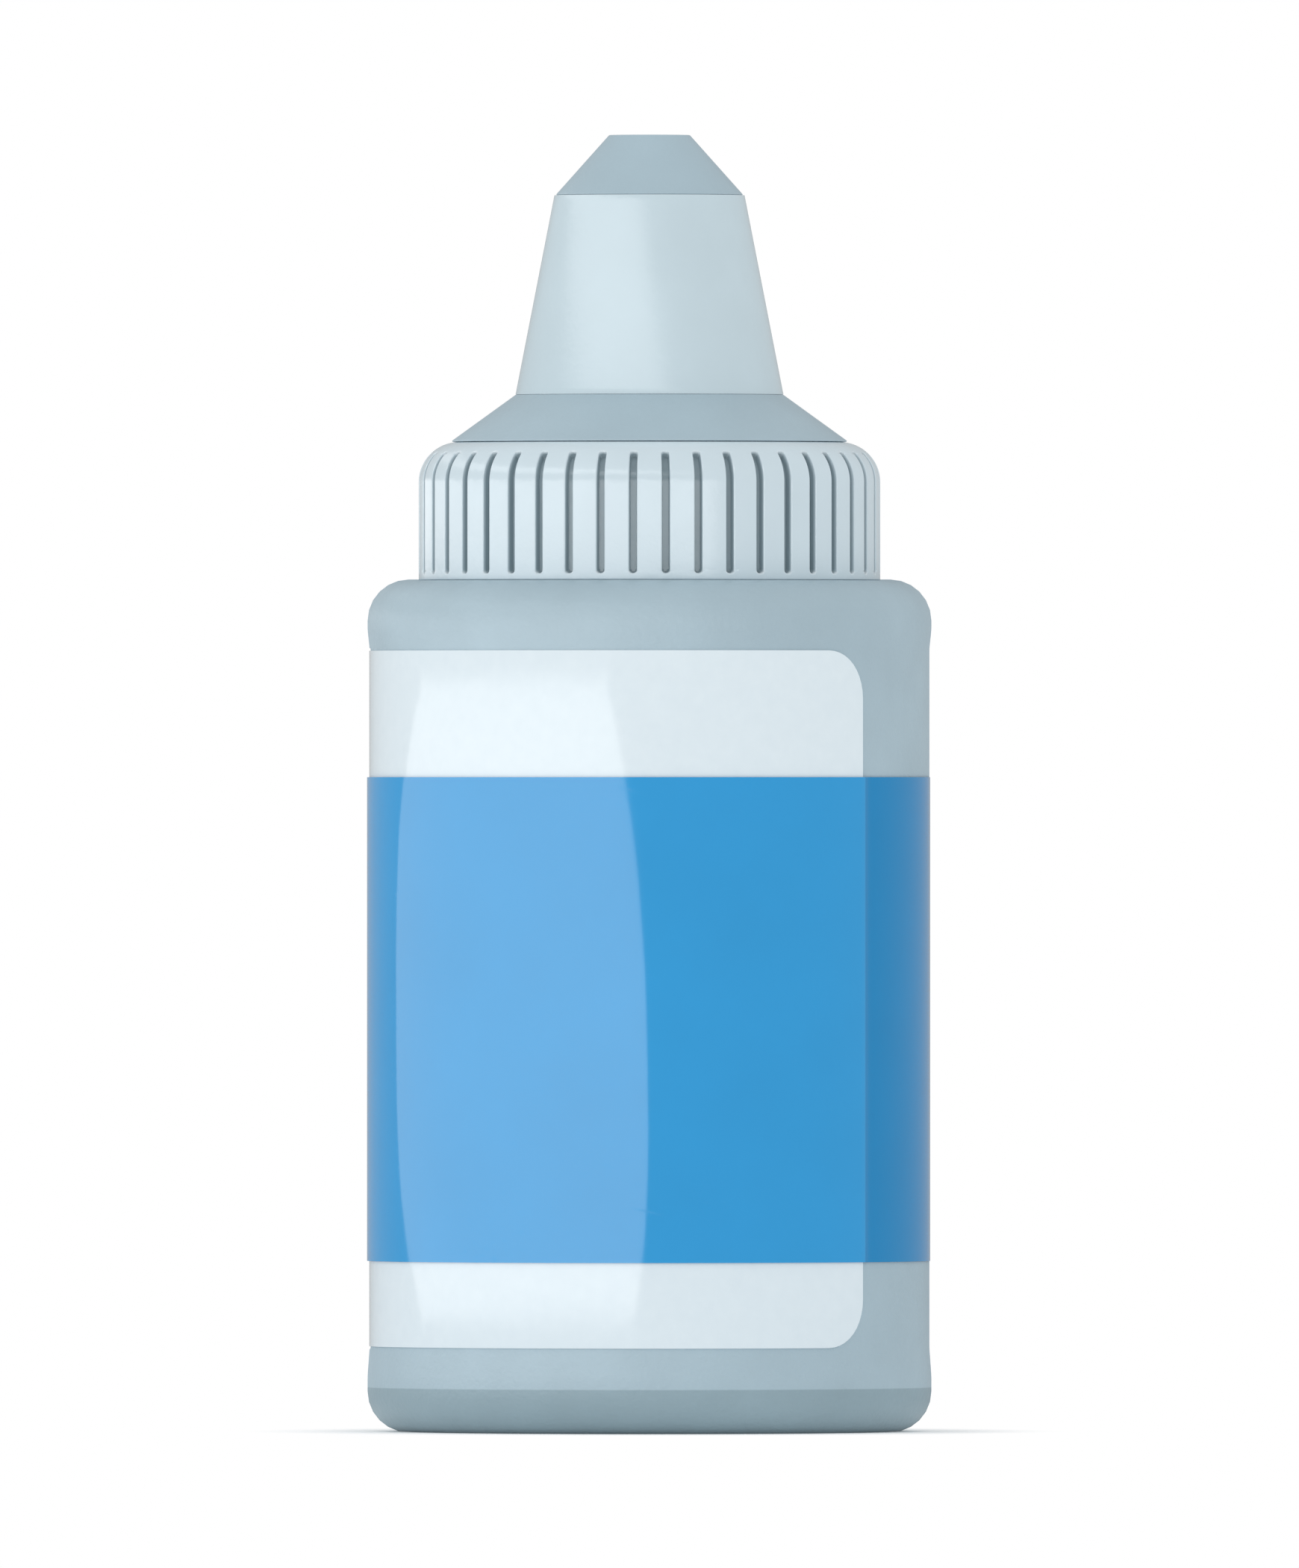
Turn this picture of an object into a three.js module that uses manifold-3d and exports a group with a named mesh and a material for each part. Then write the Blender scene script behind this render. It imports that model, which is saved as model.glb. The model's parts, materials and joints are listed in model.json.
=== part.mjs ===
// Ear drop bottle: a squeeze bottle with a wrap label and a film band, closed by a ribbed screw collar
// that carries a dropper nozzle, with a pull-off nozzle cap and its tip stopper.
// Millimetres, +Z up, origin at the centre of the base ring. The front of the label faces -Y.
import * as THREE from "three";
import { mergeVertices } from "three/addons/utils/BufferGeometryUtils.js";
import Module from "manifold-3d";

// Fineness of the round forms
const AROUND = 48;
const ARC_STEPS = 2;
const STRIP_STEP_DEG = 6;
const CORNER_STEPS = 5;

// Clearances
const SEAT_GAP = 0.05; // between faces that rest on each other
const RUN_CLEARANCE = 0.25; // between a piece and the bore that it turns or slides in
const WRAP_GAP = 0.04; // between the bottle, the label and the film
const LIQUID_GAP = 0.3; // between the liquid and the bottle's wall

// Bottle body
const BODY_DIAMETER = 28;
const BODY_HEIGHT = 42.4;
const HEEL_RADIUS = 2;
const SHOULDER_RADIUS = 2;
const BODY_WALL = 0.9;
const SHOULDER_WALL = 1.2;
const FLOOR_THICKNESS = 1.3;
const PUSH_UP_DEPTH = 1.2;
const BASE_RING_WIDTH = 1.8;
const INNER_CORNER = 1.6;
const FILL_HEIGHT = 33; // level of the liquid above the base

// Neck finish
const NECK_HEIGHT = 4.35;
const NECK_WALL = 2.05;
const THREAD_ROOM = 1.35; // between the neck and the collar's bore
const NECK_FILLET = 0.5;
const NECK_CHAMFER = 0.3;

// Label and film band
const LABEL_LOW = 4.25;
const LABEL_HEIGHT = 34.65;
const LABEL_THICKNESS = 0.1;
const LABEL_CORNER = 2.4;
const LABEL_END_DEG = 49.4; // the end that shows at the front right
const LABEL_BARE_DEG = 80; // bare stretch between the label's two ends
const BAND_LOW = 8.5;
const BAND_HEIGHT = 24.1;
const BAND_THICKNESS = 0.1;
const BAND_SEAM_DEG = 2; // slit at the back, where the film's ends meet
const PANEL_RECESS = 0.2; // depth of the label panel in the bottle's wall
const PANEL_MARGIN = 0.35; // bare recess above and below the label

// Screw collar
const COLLAR_DIAMETER = 23;
const COLLAR_HEIGHT = 6.7;
const COLLAR_LIFT = 0.2; // gap under the collar
const COLLAR_ROUND = 2;
const COLLAR_WALL = 1.4;
const COLLAR_LIP = 1.6;
const COLLAR_MOUTH_CHAMFER = 0.35;
const GRIP_SLOTS = 44;
const GRIP_SLOT_WIDTH = 0.42;
const GRIP_SLOT_DEPTH = 0.45;
const GRIP_SLOT_FOOT = 0.33;
const GRIP_SLOT_HEAD = 0.5;

// Sealing washer
const WASHER_THICKNESS = 0.75;
const WASHER_WIDTH = 1;
const WASHER_INSET = 0.15; // outer edge, in from the neck's outer wall

// Dropper nozzle
const STEM_BEAD = 0.45; // how far the snap bead stands out of the stem
const STEM_BEAD_HEIGHT = 0.6;
const PLUG_DEPTH = 3; // how far the plug seal reaches into the neck
const PLUG_WALL = 0.9;
const PLUG_TAPER = 0.3;
const NOZZLE_BASE_DIAMETER = 19.84;
const NOZZLE_SHOULDER_HEIGHT = 2.3;
const SPIGOT_HEIGHT = 2.6;
const SPOUT_BASE_DIAMETER = 8.6;
const SPOUT_TIP_DIAMETER = 3.4;
const SPOUT_LENGTH = 4.9;
const SPOUT_ROUND = 0.6;
const NOZZLE_WALL = 1.1;
const ORIFICE_DIAMETER = 1.2;
const ORIFICE_LENGTH = 1.6;

// Nozzle cap
const CAP_BASE_DIAMETER = 13.36;
const CAP_TOP_DIAMETER = 9.48;
const CAP_HEIGHT = 9.9;
const CAP_WALL = 1;
const CAP_ROOF = 1.2;

// Tip stopper
const STOPPER_BASE_DIAMETER = 9.36;
const STOPPER_TOP_DIAMETER = 4.02;
const STOPPER_HEIGHT = 2.95;
const STOPPER_STEM_DIAMETER = 4.8;
const STOPPER_BEAD = 0.4;
const STOPPER_BEAD_HEIGHT = 0.5;
const SEAL_PIN_DIAMETER = 0.6;
const SEAL_PIN_REACH = 0.7; // how far the pin enters the orifice

// Heights and radii that follow from the sizes above
const bodyR = BODY_DIAMETER / 2;
const panelR = bodyR - PANEL_RECESS;
const labelR = panelR + WRAP_GAP;
const bandR = labelR + LABEL_THICKNESS + WRAP_GAP;
const innerR = panelR - BODY_WALL;
const collarR = COLLAR_DIAMETER / 2;
const collarBoreR = collarR - COLLAR_WALL;
const neckR = collarBoreR - THREAD_ROOM;
const neckBoreR = neckR - NECK_WALL;
const neckTop = BODY_HEIGHT + NECK_HEIGHT;
const collarFoot = BODY_HEIGHT + COLLAR_LIFT;
const collarTop = collarFoot + COLLAR_HEIGHT;
const lipUnderside = collarTop - COLLAR_LIP;
const washerR = neckR - WASHER_INSET;
const washerHoleR = washerR - WASHER_WIDTH;
const beadR = washerHoleR - RUN_CLEARANCE;
const stemR = beadR - STEM_BEAD;
const lipHoleR = stemR + RUN_CLEARANCE;
const shoulderFoot = collarTop + SEAT_GAP;
const shoulderTop = shoulderFoot + NOZZLE_SHOULDER_HEIGHT;
const plugR = neckBoreR - RUN_CLEARANCE;
const plugFoot = neckTop - PLUG_DEPTH;
const spigotR = CAP_BASE_DIAMETER / 2 - CAP_WALL - RUN_CLEARANCE;
const spigotTop = shoulderTop + SPIGOT_HEIGHT;
const spoutTop = spigotTop + SPOUT_LENGTH;
const capFoot = shoulderTop + SEAT_GAP;
const capTop = capFoot + CAP_HEIGHT;
const stopperFoot = capTop + SEAT_GAP;
const stopperTop = stopperFoot + STOPPER_HEIGHT;
const stopperStemR = STOPPER_STEM_DIAMETER / 2;

const wasm = await Module();
wasm.setup();

// A closed geometry as a solid that can be cut.
function solidOf(geometry) {
  const bare = geometry.clone();
  bare.deleteAttribute("normal");
  bare.deleteAttribute("uv");
  const merged = mergeVertices(bare);
  const mesh = new wasm.Mesh({
    numProp: 3,
    vertProperties: merged.attributes.position.array,
    triVerts: new Uint32Array(merged.index.array),
  });
  return new wasm.Manifold(mesh);
}

// A solid back as a geometry.
function geometryOf(solid) {
  const mesh = solid.getMesh();
  const geometry = new THREE.BufferGeometry();
  geometry.setAttribute("position", new THREE.BufferAttribute(mesh.vertProperties, 3));
  geometry.setIndex(new THREE.BufferAttribute(mesh.triVerts, 1));
  geometry.computeVertexNormals();
  return geometry;
}

// A profile of radius and height, drawn anticlockwise, turned about the Z axis.
function revolve(profile, around = AROUND) {
  const points = profile.getPoints(ARC_STEPS);
  return new THREE.LatheGeometry(points, around).rotateX(Math.PI / 2);
}

// A strip of sheet wrapped on a cylinder between two angles, with rounded corners at both ends.
// The angles run from the front, positive to the right.
function wrappedStrip({ radius, thickness, low, height, fromDeg, toDeg, corner }) {
  const cornerDeg = THREE.MathUtils.radToDeg(corner / radius);
  const middleSteps = Math.ceil((toDeg - fromDeg - 2 * cornerDeg) / STRIP_STEP_DEG);
  const stations = [];
  const rounding = corner > 0 ? CORNER_STEPS : 0;
  for (let i = 0; i < rounding; i++) {
    const turn = (i / rounding) * (Math.PI / 2);
    stations.push({ deg: fromDeg + cornerDeg * (1 - Math.cos(turn)), inset: corner * (1 - Math.sin(turn)) });
  }
  for (let i = 0; i <= middleSteps; i++) {
    const share = i / middleSteps;
    const deg = THREE.MathUtils.lerp(fromDeg + cornerDeg, toDeg - cornerDeg, share);
    stations.push({ deg, inset: 0 });
  }
  for (let i = rounding - 1; i >= 0; i--) {
    const turn = (i / rounding) * (Math.PI / 2);
    stations.push({ deg: toDeg - cornerDeg * (1 - Math.cos(turn)), inset: corner * (1 - Math.sin(turn)) });
  }
  const position = [];
  for (const { deg, inset } of stations) {
    const angle = THREE.MathUtils.degToRad(deg);
    const bottom = low + inset;
    const top = low + height - inset;
    const ring = [[radius, bottom], [radius + thickness, bottom], [radius + thickness, top], [radius, top]];
    for (const [r, z] of ring) position.push(r * Math.sin(angle), -r * Math.cos(angle), z);
  }
  const index = [];
  const last = 4 * (stations.length - 1);
  for (let start = 0; start < last; start += 4) {
    for (let side = 0; side < 4; side++) {
      const a = start + side;
      const b = start + ((side + 1) % 4);
      index.push(a, a + 4, b, b, a + 4, b + 4);
    }
  }
  index.push(0, 1, 2, 0, 2, 3);
  index.push(last, last + 2, last + 1, last, last + 3, last + 2);
  const geometry = new THREE.BufferGeometry();
  geometry.setAttribute("position", new THREE.Float32BufferAttribute(position, 3));
  geometry.setIndex(index);
  geometry.computeVertexNormals();
  return geometry;
}

// Blow-moulded bottle: heel, recessed label panel, round shoulder, neck and a pushed-up base.
function bottleBody() {
  const panelLow = LABEL_LOW - PANEL_MARGIN;
  const panelHigh = LABEL_LOW + LABEL_HEIGHT + PANEL_MARGIN;
  const ringR = bodyR - HEEL_RADIUS - BASE_RING_WIDTH;
  const ceiling = BODY_HEIGHT - SHOULDER_WALL;
  const profile = new THREE.Path();
  profile.moveTo(0, PUSH_UP_DEPTH);
  profile.quadraticCurveTo(ringR / 2, PUSH_UP_DEPTH, ringR, 0);
  profile.lineTo(bodyR - HEEL_RADIUS, 0);
  profile.absarc(bodyR - HEEL_RADIUS, HEEL_RADIUS, HEEL_RADIUS, -Math.PI / 2, 0, false);
  profile.lineTo(bodyR, panelLow - PANEL_RECESS);
  profile.lineTo(panelR, panelLow);
  profile.lineTo(panelR, panelHigh);
  profile.lineTo(bodyR, panelHigh + PANEL_RECESS);
  const shoulderR = bodyR - SHOULDER_RADIUS;
  profile.absarc(shoulderR, BODY_HEIGHT - SHOULDER_RADIUS, SHOULDER_RADIUS, 0, Math.PI / 2, false);
  const filletR = neckR + NECK_FILLET;
  profile.absarc(filletR, BODY_HEIGHT + NECK_FILLET, NECK_FILLET, -Math.PI / 2, -Math.PI, true);
  profile.lineTo(neckR, neckTop - NECK_CHAMFER);
  profile.lineTo(neckR - NECK_CHAMFER, neckTop);
  profile.lineTo(neckBoreR + NECK_CHAMFER, neckTop);
  profile.lineTo(neckBoreR, neckTop - NECK_CHAMFER);
  profile.lineTo(neckBoreR, ceiling);
  profile.absarc(innerR - INNER_CORNER, ceiling - INNER_CORNER, INNER_CORNER, Math.PI / 2, 0, true);
  profile.absarc(innerR - INNER_CORNER, FLOOR_THICKNESS + INNER_CORNER, INNER_CORNER, 0, -Math.PI / 2, true);
  profile.lineTo(ringR, FLOOR_THICKNESS);
  profile.quadraticCurveTo(ringR / 2, PUSH_UP_DEPTH + FLOOR_THICKNESS, 0, PUSH_UP_DEPTH + FLOOR_THICKNESS);
  return revolve(profile);
}

// The ear drops: the bottle's inside up to the fill level.
function liquid() {
  const ringR = bodyR - HEEL_RADIUS - BASE_RING_WIDTH;
  const r = innerR - LIQUID_GAP;
  const floor = FLOOR_THICKNESS + LIQUID_GAP;
  const profile = new THREE.Path();
  profile.moveTo(0, floor + PUSH_UP_DEPTH);
  profile.quadraticCurveTo(ringR / 2, floor + PUSH_UP_DEPTH, ringR, floor);
  profile.absarc(r - INNER_CORNER, floor + INNER_CORNER, INNER_CORNER, -Math.PI / 2, 0, false);
  profile.lineTo(r, FILL_HEIGHT);
  profile.lineTo(0, FILL_HEIGHT);
  return revolve(profile);
}

function labelPanel() {
  return wrappedStrip({
    radius: labelR,
    thickness: LABEL_THICKNESS,
    low: LABEL_LOW,
    height: LABEL_HEIGHT,
    fromDeg: LABEL_END_DEG + LABEL_BARE_DEG - 360,
    toDeg: LABEL_END_DEG,
    corner: LABEL_CORNER,
  });
}

function filmBand() {
  return wrappedStrip({
    radius: bandR,
    thickness: BAND_THICKNESS,
    low: BAND_LOW,
    height: BAND_HEIGHT,
    fromDeg: BAND_SEAM_DEG / 2 - 180,
    toDeg: 180 - BAND_SEAM_DEG / 2,
    corner: 0,
  });
}

// Foam washer between the neck's rim and the collar's lip.
function sealingWasher() {
  const low = neckTop + SEAT_GAP;
  const high = low + WASHER_THICKNESS;
  const profile = new THREE.Path();
  profile.moveTo(washerHoleR, low);
  profile.lineTo(washerR, low);
  profile.lineTo(washerR, high);
  profile.lineTo(washerHoleR, high);
  profile.lineTo(washerHoleR, low);
  return revolve(profile);
}

// Cutter for one grip slot: a round-ended bar that points out along +Y, its floor at the slot's depth.
function gripSlotCutter() {
  const half = GRIP_SLOT_WIDTH / 2;
  const low = collarFoot + GRIP_SLOT_FOOT + half;
  const high = collarTop - GRIP_SLOT_HEAD - half;
  const outline = new THREE.Shape();
  outline.absarc(0, low, half, Math.PI, 2 * Math.PI, false);
  outline.absarc(0, high, half, 0, Math.PI, false);
  const depth = GRIP_SLOT_DEPTH + COLLAR_ROUND;
  const bar = new THREE.ExtrudeGeometry(outline, { depth, bevelEnabled: false, curveSegments: 4 });
  return bar.rotateX(Math.PI / 2).translate(0, collarR - GRIP_SLOT_DEPTH + depth, 0);
}

// Screw collar: a round-edged cap ring with a lip at the top and grip slots all round.
function screwCollar() {
  const profile = new THREE.Path();
  profile.moveTo(collarBoreR + COLLAR_MOUTH_CHAMFER, collarFoot);
  profile.lineTo(collarR, collarFoot);
  profile.absarc(collarR - COLLAR_ROUND, collarTop - COLLAR_ROUND, COLLAR_ROUND, 0, Math.PI / 2, false);
  profile.lineTo(lipHoleR, collarTop);
  profile.lineTo(lipHoleR, lipUnderside);
  profile.lineTo(collarBoreR, lipUnderside);
  profile.lineTo(collarBoreR, collarFoot + COLLAR_MOUTH_CHAMFER);
  profile.lineTo(collarBoreR + COLLAR_MOUTH_CHAMFER, collarFoot);
  let ring = solidOf(revolve(profile, GRIP_SLOTS));
  const cutter = gripSlotCutter();
  for (let i = 0; i < GRIP_SLOTS; i++) {
    const turned = cutter.clone().rotateZ(((i + 0.5) / GRIP_SLOTS) * 2 * Math.PI);
    ring = ring.subtract(solidOf(turned));
  }
  return geometryOf(ring);
}

// Dropper nozzle: plug seal, snap bead, cone shoulder, spigot for the cap and a spout with a fine orifice.
function dropperNozzle() {
  const beadTop = lipUnderside - SEAT_GAP;
  const beadFoot = beadTop - STEM_BEAD_HEIGHT;
  const spoutR = SPOUT_BASE_DIAMETER / 2;
  const tipR = SPOUT_TIP_DIAMETER / 2;
  const orificeR = ORIFICE_DIAMETER / 2;
  const plugBoreR = plugR - PLUG_WALL;
  const profile = new THREE.Path();
  profile.moveTo(plugBoreR, plugFoot);
  profile.lineTo(plugR - PLUG_TAPER, plugFoot);
  profile.lineTo(plugR, plugFoot + PLUG_TAPER);
  profile.lineTo(plugR, beadFoot);
  profile.lineTo(stemR, beadFoot);
  profile.lineTo(beadR, beadFoot + STEM_BEAD_HEIGHT / 2);
  profile.lineTo(stemR, beadTop);
  profile.lineTo(stemR, shoulderFoot);
  profile.lineTo(NOZZLE_BASE_DIAMETER / 2, shoulderFoot);
  profile.lineTo(CAP_BASE_DIAMETER / 2, shoulderTop);
  profile.lineTo(spigotR, shoulderTop);
  profile.lineTo(spigotR, spigotTop);
  profile.lineTo(spoutR, spigotTop);
  profile.lineTo(tipR, spoutTop - SPOUT_ROUND);
  profile.lineTo(tipR - SPOUT_ROUND, spoutTop);
  profile.lineTo(orificeR, spoutTop);
  profile.lineTo(orificeR, spoutTop - ORIFICE_LENGTH);
  profile.lineTo(spoutR - NOZZLE_WALL, spigotTop);
  profile.lineTo(spoutR - NOZZLE_WALL, shoulderTop);
  profile.lineTo(plugBoreR, shoulderFoot);
  profile.lineTo(plugBoreR, plugFoot);
  return revolve(profile);
}

// Nozzle cap: a thin tapered sleeve with a roof that holds the tip stopper.
function nozzleCap() {
  const footR = CAP_BASE_DIAMETER / 2;
  const topR = CAP_TOP_DIAMETER / 2;
  const holeR = stopperStemR + RUN_CLEARANCE;
  const roofUnderside = capTop - CAP_ROOF;
  const profile = new THREE.Path();
  profile.moveTo(footR - CAP_WALL, capFoot);
  profile.lineTo(footR, capFoot);
  profile.lineTo(topR, capTop);
  profile.lineTo(holeR, capTop);
  profile.lineTo(holeR, roofUnderside);
  profile.lineTo(topR - CAP_WALL, roofUnderside);
  profile.lineTo(footR - CAP_WALL, spigotTop + RUN_CLEARANCE);
  profile.lineTo(footR - CAP_WALL, capFoot);
  return revolve(profile);
}

// Tip stopper: the blunt tip of the cap, snapped through its roof, with a pin that seals the orifice.
function tipStopper() {
  const beadTop = capTop - CAP_ROOF - SEAT_GAP;
  const beadFoot = beadTop - STOPPER_BEAD_HEIGHT;
  const pinR = SEAL_PIN_DIAMETER / 2;
  const profile = new THREE.Path();
  profile.moveTo(0, spoutTop - SEAL_PIN_REACH);
  profile.lineTo(pinR, spoutTop - SEAL_PIN_REACH);
  profile.lineTo(pinR, beadFoot);
  profile.lineTo(stopperStemR, beadFoot);
  profile.lineTo(stopperStemR + STOPPER_BEAD, beadTop);
  profile.lineTo(stopperStemR, beadTop);
  profile.lineTo(stopperStemR, stopperFoot);
  profile.lineTo(STOPPER_BASE_DIAMETER / 2, stopperFoot);
  profile.lineTo(STOPPER_TOP_DIAMETER / 2, stopperTop);
  profile.lineTo(0, stopperTop);
  return revolve(profile);
}

// Finishes
const greyPlastic = new THREE.MeshStandardMaterial({ color: 0xa9bfca, roughness: 0.42, metalness: 0 });
const palePlastic = new THREE.MeshStandardMaterial({ color: 0xdae8ef, roughness: 0.35, metalness: 0 });
const paleLabel = new THREE.MeshStandardMaterial({ color: 0xd9e8ef, roughness: 0.22, metalness: 0 });
const blueFilm = new THREE.MeshStandardMaterial({ color: 0x4099d6, roughness: 0.15, metalness: 0 });
const clearLiquid = new THREE.MeshStandardMaterial({ color: 0xdfeef5, roughness: 0.05, metalness: 0 });
const greyFoam = new THREE.MeshStandardMaterial({ color: 0xe8ecec, roughness: 0.8, metalness: 0 });

function piece(name, geometry, material) {
  const mesh = new THREE.Mesh(geometry, material);
  mesh.name = name;
  return mesh;
}

const bottle = new THREE.Group();
bottle.add(
  piece("bottle_body", bottleBody(), greyPlastic),
  piece("ear_drop_liquid", liquid(), clearLiquid),
  piece("label_panel", labelPanel(), paleLabel),
  piece("label_band", filmBand(), blueFilm),
);

const closure = new THREE.Group();
closure.add(
  piece("sealing_washer", sealingWasher(), greyFoam),
  piece("screw_collar", screwCollar(), palePlastic),
  piece("dropper_nozzle", dropperNozzle(), greyPlastic),
);

const cap = new THREE.Group();
cap.add(
  piece("nozzle_cap", nozzleCap(), palePlastic),
  piece("tip_stopper", tipStopper(), greyPlastic),
);

const earDropBottle = new THREE.Group();
earDropBottle.add(bottle, closure, cap);

export default earDropBottle;
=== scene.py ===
# Ear drop bottle: a squeeze bottle with a wrap label and a film band, under a ribbed screw collar,
# a dropper nozzle and a pull-off cap. Sizes are in millimetres, and meshes are in metres.
import json
import math

import bmesh
import bpy
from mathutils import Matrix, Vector


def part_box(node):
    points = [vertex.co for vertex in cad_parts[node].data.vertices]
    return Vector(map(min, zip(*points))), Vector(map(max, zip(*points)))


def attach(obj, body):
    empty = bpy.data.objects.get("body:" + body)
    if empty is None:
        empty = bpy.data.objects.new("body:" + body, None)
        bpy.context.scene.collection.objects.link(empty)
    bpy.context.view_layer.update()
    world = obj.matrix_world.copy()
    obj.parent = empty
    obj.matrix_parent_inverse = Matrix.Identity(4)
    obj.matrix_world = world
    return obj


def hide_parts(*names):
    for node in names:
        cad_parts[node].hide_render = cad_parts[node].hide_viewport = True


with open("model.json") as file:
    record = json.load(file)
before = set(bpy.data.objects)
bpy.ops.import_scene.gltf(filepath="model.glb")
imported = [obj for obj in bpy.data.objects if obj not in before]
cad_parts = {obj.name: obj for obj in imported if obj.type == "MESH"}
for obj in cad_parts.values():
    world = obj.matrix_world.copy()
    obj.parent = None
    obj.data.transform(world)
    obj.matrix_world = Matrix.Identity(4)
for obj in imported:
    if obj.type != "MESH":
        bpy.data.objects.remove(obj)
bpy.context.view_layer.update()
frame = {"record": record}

# Bottle: blow-moulded from blue-grey polyethylene, with a recessed label panel and painted shade on its
# heel.
# The mould's halves leave a parting line up both sides and a pinch-off seam across the pushed-up base.
# One thread ridge winds up the neck.
MM = 0.001
ARC_STEPS = 6
MERGE_DISTANCE = 0.0005 * MM
EDGE_ANGLE = math.radians(3)


def extent(node):
    """Radius, lowest and highest height of a CAD node, in millimetres."""
    low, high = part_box(node)
    return high.x / MM, low.z / MM, high.z / MM


def outline(corners, wide_steps=ARC_STEPS):
    """Corners (radius, height, rounding) as outline points, with an arc at each rounded corner.
    A wide arc, of more than a millimetre, may get more steps than the others."""
    points = []
    for i, (radius, height, rounding) in enumerate(corners):
        corner = Vector((radius, height))
        if not rounding:
            points.append(corner)
            continue
        back = (Vector(corners[i - 1][:2]) - corner).normalized()
        ahead = (Vector(corners[(i + 1) % len(corners)][:2]) - corner).normalized()
        half_angle = back.angle(ahead) / 2
        centre = corner + (back + ahead).normalized() * rounding / math.sin(half_angle)
        start = corner + back * rounding / math.tan(half_angle) - centre
        end = corner + ahead * rounding / math.tan(half_angle) - centre
        steps = wide_steps if rounding > 1 else ARC_STEPS
        for step in range(steps + 1):
            share = step / steps
            points.append(centre + start.slerp(end, share).normalized() * rounding)
    return points


def split_rows(points, low, high, spacing):
    """Adds points along the stretches between two heights, so that a wall there has rows to shape."""
    rows = [points[0]]
    for before, after in zip(points, points[1:]):
        inside = low <= min(before.y, after.y) and max(before.y, after.y) <= high
        count = max(math.ceil((after - before).length / spacing), 1) if inside else 1
        rows += [before.lerp(after, i / count) for i in range(1, count + 1)]
    return rows


def turned(points, sectors=16, columns=10, closed=False):
    """A bmesh of an outline turned about the bottle's axis: one sector is spun, then copied round."""
    shell = bmesh.new()
    rim = [shell.verts.new((point.x * MM, 0, point.y * MM)) for point in points]
    pairs = list(zip(rim, rim[1:]))
    if closed:
        pairs.append((rim[-1], rim[0]))
    edges = [shell.edges.new(pair) for pair in pairs]
    sector = math.tau / sectors
    bmesh.ops.spin(
        shell, geom=rim + edges, cent=(0, 0, 0), axis=(0, 0, 1),
        dvec=(0, 0, 0), angle=sector, steps=columns,
    )
    bmesh.ops.spin(
        shell, geom=shell.verts[:] + shell.edges[:] + shell.faces[:], cent=(0, 0, 0), axis=(0, 0, 1),
        dvec=(0, 0, 0), angle=math.tau - sector, steps=sectors - 1, use_duplicate=True,
    )
    bmesh.ops.remove_doubles(shell, verts=shell.verts, dist=MERGE_DISTANCE)
    bmesh.ops.recalc_face_normals(shell, faces=shell.faces)
    shell.normal_update()
    return shell


def mark_edges(shell):
    """Writes the tightest convex bend at each vertex, per millimetre: hands rub the tight edges most."""
    bend = shell.verts.layers.float.new("edge_bend")
    shell.normal_update()
    for edge in shell.edges:
        angle = edge.calc_face_angle_signed(0)
        if angle > EDGE_ANGLE:
            width = sum(face.calc_area() for face in edge.link_faces) / (2 * edge.calc_length())
            for vert in edge.verts:
                vert[bend] = max(vert[bend], angle * MM / width)


def piece_from(shell, name, material, sharp_deg=38):
    """A smooth-shaded object from a bmesh, with edges over the given angle kept sharp."""
    mark_edges(shell)
    mesh = bpy.data.meshes.new(name)
    shell.to_mesh(mesh)
    shell.free()
    mesh.shade_smooth()
    mesh.set_sharp_from_angle(angle=math.radians(sharp_deg))
    mesh.materials.append(material)
    piece = bpy.data.objects.new(name, mesh)
    bpy.context.scene.collection.objects.link(piece)
    return piece


def thread_rise(spot, level, first, last, height):
    """How far a right-hand thread stands out of its wall at a spot, in millimetres.
    It runs between two turns, counted from +X, and would cross the given level at turn 0."""
    turn = math.atan2(spot.y, spot.x) / math.tau % 1
    rise = 0
    while turn <= last:
        away = abs(spot.z / MM - level - turn * thread_pitch)
        flank = (THREAD_FOOT / 2 - away) / (THREAD_FOOT / 2 - THREAD_CREST / 2)
        run_in = min(turn - first, last - turn) / THREAD_RUN_IN
        rise = max(rise, height * min(max(flank, 0), 1) * min(max(run_in, 0), 1))
        turn += 1
    return rise


thread_pitch = frame["record"]["behaviour"]["couplings"][0]["ratio"] * math.tau / MM
THREAD_RUN_IN = 0.07
THREAD_FOOT = 1.15
THREAD_CREST = 0.45
NECK_THREAD_LEVEL = 43.5
NECK_THREAD_TURNS = 0.76
NECK_THREAD_HEIGHT = 1.0

body_radius, _, neck_top = extent("bottle_body")
collar_radius, collar_foot, collar_top = extent("screw_collar")
_, label_foot, label_head = extent("label_panel")
shoulder_top = collar_foot - 0.2
NECK_RADIUS = 8.75
NECK_BORE_RADIUS = 6.7
NECK_FILLET = 0.5
NECK_RIM_ROUND = 0.35
NECK_ROW = 0.12
PANEL_RADIUS = 13.9
panel_foot = label_foot - 0.1
panel_head = label_head + 0.1
INNER_RADIUS = 12.9
FLOOR_THICKNESS = 1.3
CEILING = 41.2
PUSH_UP = 1.2
RING_RADIUS = 10.2
DOME_STEPS = 14
PARTING_HALF_WIDTH = 0.16
PARTING_RISE = 0.05


def dome(foot, step_range):
    """Points of the pushed-up base above a height, along steps from the axis to the base ring."""
    points = []
    for step in step_range:
        share = step / DOME_STEPS
        points.append(Vector((RING_RADIUS * share, foot + PUSH_UP * (1 - share**2))))
    return points


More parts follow.
